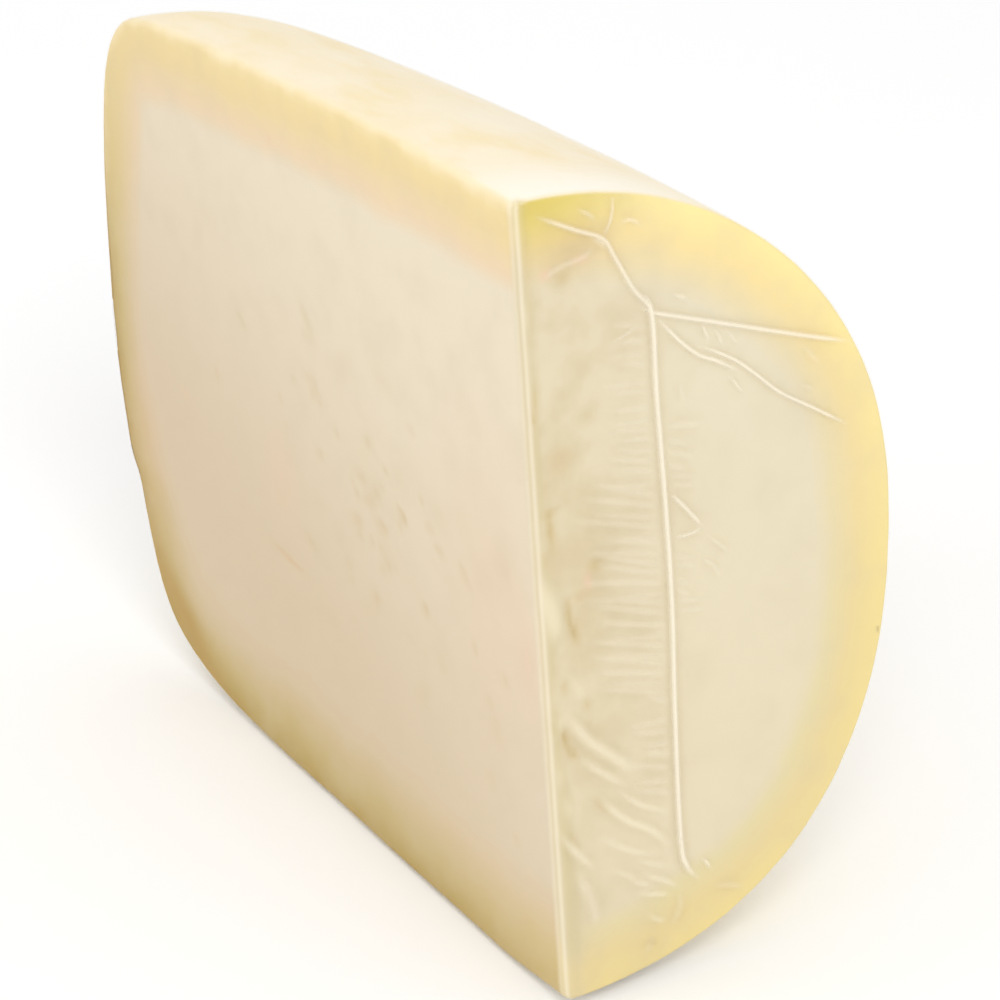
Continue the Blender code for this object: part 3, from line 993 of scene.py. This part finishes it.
WHITE = (1.0, 1.0, 1.0, 1.0)
FILM_MILK, FILM_SHADE = screen(254, 246, 226), (0.80, 0.76, 0.66, 1.0)
SHADE_STRENGTH = 0.5
FOLD_MILK, STRIP_MILK = 0.70, 0.05
HAZE_NOISE, RIPPLE_NOISE = (30.0, 3.0, 0.5), (90.0, 2.0, 0.5)
HAZE_STEP = (0.3, 0.8, 0.025, 0.060)
GLOSS_FACING, GLOSS_AT_EDGE, GLOSS_POWER = 0.030, 0.25, 5.0
NEAR_EDGE_GLOSS_CHANGE = -0.9


def film_material():
    """Clear film that turns milky where it is folded, with a soft gloss."""
    material = new_material("clear_film")
    n = Nodes(material)
    where = n.add("ShaderNodeTexCoord").outputs["Object"]
    haze, ripple = n.noise(HAZE_NOISE, where), n.noise(RIPPLE_NOISE, where)
    tint = n.mix(n.math("MULTIPLY", n.value("shade"), SHADE_STRENGTH, clamp=True), WHITE, FILM_SHADE)
    clear = n.add("ShaderNodeBsdfTransparent", {"Color": tint})
    milky = n.add("ShaderNodeBsdfDiffuse", {"Color": FILM_MILK})
    milk = n.step(haze, HAZE_STEP)
    milk = n.math("ADD", milk, n.math("MULTIPLY", n.value("fold"), FOLD_MILK))
    milk = n.math("ADD", milk, n.math("MULTIPLY", n.value("strip"), STRIP_MILK), clamp=True)
    body = n.add("ShaderNodeMixShader", {0: milk, 1: clear, 2: milky})
    bump = n.add("ShaderNodeBump", {"Strength": 0.12, "Distance": 0.0006})
    n.set(bump.inputs["Height"], ripple)
    gloss = n.add("ShaderNodeBsdfGlossy", {"Color": WHITE, "Roughness": 0.24})
    n.set(gloss.inputs["Normal"], bump)
    facing = n.add("ShaderNodeLayerWeight", {"Blend": 0.5, "Normal": bump}).outputs["Facing"]
    share = n.math("MULTIPLY_ADD", n.math("POWER", facing, GLOSS_POWER), GLOSS_AT_EDGE, GLOSS_FACING)
    kept = n.math("MULTIPLY_ADD", n.value("near_edge"), NEAR_EDGE_GLOSS_CHANGE, 1.0)
    share = n.math("MULTIPLY", share, kept)
    shader = n.add("ShaderNodeMixShader", {0: share, 1: body, 2: gloss})
    n.add("ShaderNodeOutputMaterial", {"Surface": shader})
    return material


# The two pieces

LUMP_HIGH, POCKET_SHARE = 0.0007, 0.55
FAN_PALE = 3.8

# Unevenness of the skin, as (height, size, shift of its noise), and how far it is set in for it
BROAD, SMALL, GRAIN = (0.00018, 0.030, 2.0), (0.00006, 0.009, 7.0), (0.00008, 0.004, 5.0)
SET_IN = 0.00022

# Where the paste and the rind change their colours
# How the darker foot colours, partly painted shade, spread down the faces and towards the far end
LOW_FROM, LOW_OVER = 0.60, 1.8 * HALF_HEIGHT
LOW_FAR, LOW_FAR_BY_HEIGHT = 0.60, 0.6
CORNER_WIDE, CORNER_HIGH = 0.50, 0.18
# How strong and how wide the painted rim highlight is, and where it turns golden
RIM_HIGHLIGHT_STRENGTH, RIM_HIGHLIGHT_REACH = 0.75, 0.030
RIM_GOLD_FROM, RIM_GOLD_OVER = 0.4, 0.6 * HALF_HEIGHT
NEARNESS, NEARNESS_AT_FOOT = 0.8, 0.45
NEARNESS_FOOT, NEARNESS_RISE = 1.4, 0.5 * HALF_HEIGHT
NEARNESS_FROM, NEARNESS_OVER = 1.15, 0.42 * HALF_HEIGHT
NEAR_TONE_AT_FOOT, NEAR_TONE_MIDDLE = 0.25, 0.35


def unevenness(places, kind):
    """Height of one kind of unevenness at each place."""
    high, size, shift = kind
    return high * noise_at(places, size, shift)


def soft_relief(places):
    """The low, broad unevenness of the whole skin."""
    return unevenness(places, BROAD) + unevenness(places, SMALL) - SET_IN


def foot_tone_and_shade(places):
    """Share of the darker foot colours, partly the rind's deeper tone and partly painted shade: 0 near the
    top of the cut faces and 1 near their foot, at a slant on the long one, rising towards the far end.
    """
    along, up = places[:, 0], places[:, 2]
    far = LOW_FAR * (along / LENGTH - 0.5) * (1.0 - LOW_FAR_BY_HEIGHT * up / HALF_HEIGHT)
    return smooth_step(LOW_FROM - up / LOW_OVER + far * (1.0 - on_end_face(places)))


def build_paste():
    made, places = build_skin("cheese", [], PASTE_GRID, PASTE_GRID_SEED)
    along, out, up = places.T
    end, long, near = on_end_face(places), on_long_face(places), near_edge(places)
    height, stain, blush = cut_marks(places)
    folds = fold_height(fold_lines(FANS, FAN_FADE), places[:, 1:3])[1]
    strip = strip_share(places)
    relief = height + strip_relief(places, strip)
    relief = relief + unevenness(places, GRAIN) + soft_relief(places) - PASTE_GAP
    shape_points(made.data, places, relief)
    from_end = near * smooth_step(1.0 + (out - along) / NEAR_RADIUS)
    from_corner = np.hypot(out / CORNER_WIDE, (up - HALF_HEIGHT) / CORNER_HIGH) / HALF_HEIGHT
    above = mix(NEARNESS_AT_FOOT, 1.0, smooth_step(up / NEARNESS_RISE + NEARNESS_FOOT))
    lit = mix(NEAR_TONE_AT_FOOT, 1.0, smooth_step(NEAR_TONE_MIDDLE + up / HALF_HEIGHT))
    add_values(made.data, {
        "band_depth": band_depth(places),
        "end_face": np.maximum(end, from_end),
        # Painted shade, with the rind's deeper tone, towards the foot and the far end
        "rind": 1.0 - np.maximum(end, long),
        "foot_tone_and_shade": foot_tone_and_shade(places),
        "corner": smooth_step(1.0 - from_corner) * end,
        # Where the far corner's painted shade and deeper golden tone lie
        "far_corner_gold_and_shade": marked(np.column_stack((along, up)), table_marks([FAR_CORNER_GOLD_AND_SHADE]))[1] * long,
        # Painted highlight along the rim of the D-shaped face, and where it turns golden
        "rim": RIM_HIGHLIGHT_STRENGTH * smooth_step(1.0 - (along - RIM_RADIUS) / RIM_HIGHLIGHT_REACH),
        "rim_side": smooth_step(out / RIM_GOLD_OVER - RIM_GOLD_FROM),
        "nearness": NEARNESS * above * smooth_step(NEARNESS_FROM - out / NEARNESS_OVER),
        "strip": strip,
        "near_edge": lit * near,
        "stain": stain,
        "pale": np.maximum(np.clip(height / LUMP_HIGH, 0.0, 1.0), FAN_PALE * folds * end),
        "blush": blush,
    })
    made.data.materials.append(paste_material())
    return made


def build_film():
    lines = fold_lines(RIDGES.values(), RIDGE_FADE) + fold_lines(WRINKLES.values(), WRINKLE_FADE)
    lines += fold_lines(FANS, FAN_FADE) + gather_lines()
    made, places = build_skin("film", lines, FILM_GRID, FILM_GRID_SEED)
    flat_end = smooth_step(1.0 - places[:, 0] / RIM_RADIUS)
    folds, milk, shade = fold_height(lines, places[:, 1:3])
    marks = cut_marks(places)[0]
    strip = strip_share(places)
    marks = np.where(marks < 0.0, POCKET_SHARE * marks, marks) + strip_relief(places, strip)
    shape_points(made.data, places, folds * flat_end + marks + soft_relief(places) - FILM_GAP)
    add_values(made.data, {"fold": milk * flat_end, "shade": shade * flat_end, "strip": strip,
                           "near_edge": near_edge(places)})
    made.data.materials.append(film_material())
    return made


def declare(piece):
    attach(piece, "root")
    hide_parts(NODE)


# Floor, lights and camera

FLOOR_SIZE = 16.0
FLOOR_DARK, FLOOR_LIGHT = (0.93, 0.93, 0.93, 1.0), (0.96, 0.96, 0.96, 1.0)
FLOOR_NOISE = (3.0, 2.0, 0.5)


def build_floor():
    bpy.ops.mesh.primitive_plane_add(size=FLOOR_SIZE, location=(0.0, 0.0, 0.0))
    floor = bpy.context.object
    floor.name = "floor"
    material = new_material("pale_floor")
    n = Nodes(material)
    speckle = n.noise(FLOOR_NOISE, n.add("ShaderNodeTexCoord").outputs["Object"])
    shader = n.add("ShaderNodeBsdfPrincipled", {"Roughness": 0.9, "Specular IOR Level": 0.0})
    n.set(shader.inputs["Base Color"], n.mix(speckle, FLOOR_DARK, FLOOR_LIGHT))
    n.add("ShaderNodeOutputMaterial", {"Surface": shader})
    floor.data.materials.append(material)


WORLD_STRENGTH = 0.88
LIGHT_AIM = (0.0, 0.0, 0.10)

# (name, direction it stands in, distance, diameter, share of white to which it alone lights white)
LAMPS = [
    ("key", (0.66, -0.25, 0.71), 2.6, 1.3, 0.29),
    ("front", (-0.35, -0.80, 0.49), 2.4, 1.2, 0.10),
]


def add_light(name, direction, distance, size, white_share):
    """A round lamp that faces LIGHT_AIM."""
    light = bpy.data.lights.new(name, "AREA")
    light.shape = "DISK"
    light.size = size
    light.energy = white_share * (math.pi * distance) ** 2
    lamp = bpy.data.objects.new(name, light)
    toward = Vector(direction).normalized()
    lamp.location = Vector(LIGHT_AIM) + toward * distance
    lamp.rotation_euler = toward.to_track_quat("Z", "Y").to_euler()
    bpy.context.scene.collection.objects.link(lamp)


def build_lights():
    world = bpy.data.worlds.new("studio")
    world.use_nodes = True
    background = world.node_tree.nodes["Background"]
    background.inputs["Color"].default_value = WHITE
    background.inputs["Strength"].default_value = WORLD_STRENGTH
    bpy.context.scene.world = world
    for lamp in LAMPS:
        add_light(*lamp)


# Camera, as the photograph was taken: the near edge stands in the middle of the picture
LOOK_FROM_AZIMUTH, LOOK_FROM_ELEVATION = 60.774, 26.192
CAMERA_ROLL = -3.768
CAMERA_DISTANCE = 12.097 * HALF_HEIGHT
FOCAL_PIXELS = 5387.4
AIM_SHIFT = (40.056, 117.229)
FRAME_PIXELS = 1000.0
SENSOR = 36.0
FARTHEST_SEEN = 50.0


def turned(first, second, angle):
    """Two directions turned in their plane, the first one towards the second."""
    cosine, sine = math.cos(angle), math.sin(angle)
    return cosine * first + sine * second, cosine * second - sine * first


def build_camera(place):
    """The camera, worked out in barrel axes about the middle of the near edge."""
    azimuth, elevation = math.radians(LOOK_FROM_AZIMUTH), math.radians(LOOK_FROM_ELEVATION)
    back = Vector((math.cos(elevation) * math.sin(azimuth), -math.cos(elevation) * math.cos(azimuth),
                   math.sin(elevation)))
    forward = -back
    right = forward.cross(Vector((0.0, 0.0, 1.0))).normalized()
    right, up = turned(right, right.cross(forward), math.radians(CAMERA_ROLL))
    turn_y, turn_x = (math.atan(shift / FOCAL_PIXELS) for shift in AIM_SHIFT)
    across, ahead = turned(right, forward, turn_y)
    aim, upward = turned(ahead, up, turn_x)
    lean = Matrix.Rotation(-LEAN, 3, "Y")
    axes = Matrix((lean @ across, lean @ upward, -(lean @ aim))).transposed().to_4x4()
    camera = bpy.data.cameras.new("camera")
    camera.sensor_width = SENSOR
    camera.lens = SENSOR * FOCAL_PIXELS / FRAME_PIXELS
    camera.clip_end = FARTHEST_SEEN
    holder = bpy.data.objects.new("camera", camera)
    holder.matrix_world = Matrix.Translation(lean @ (back * CAMERA_DISTANCE) + Vector(place.shift)) @ axes
    bpy.context.scene.collection.objects.link(holder)
    bpy.context.scene.camera = holder


build_camera(Place(side_rings()))
declare(build_paste())
declare(build_film())
build_floor()
build_lights()
bpy.context.scene.view_settings.view_transform = "Standard"
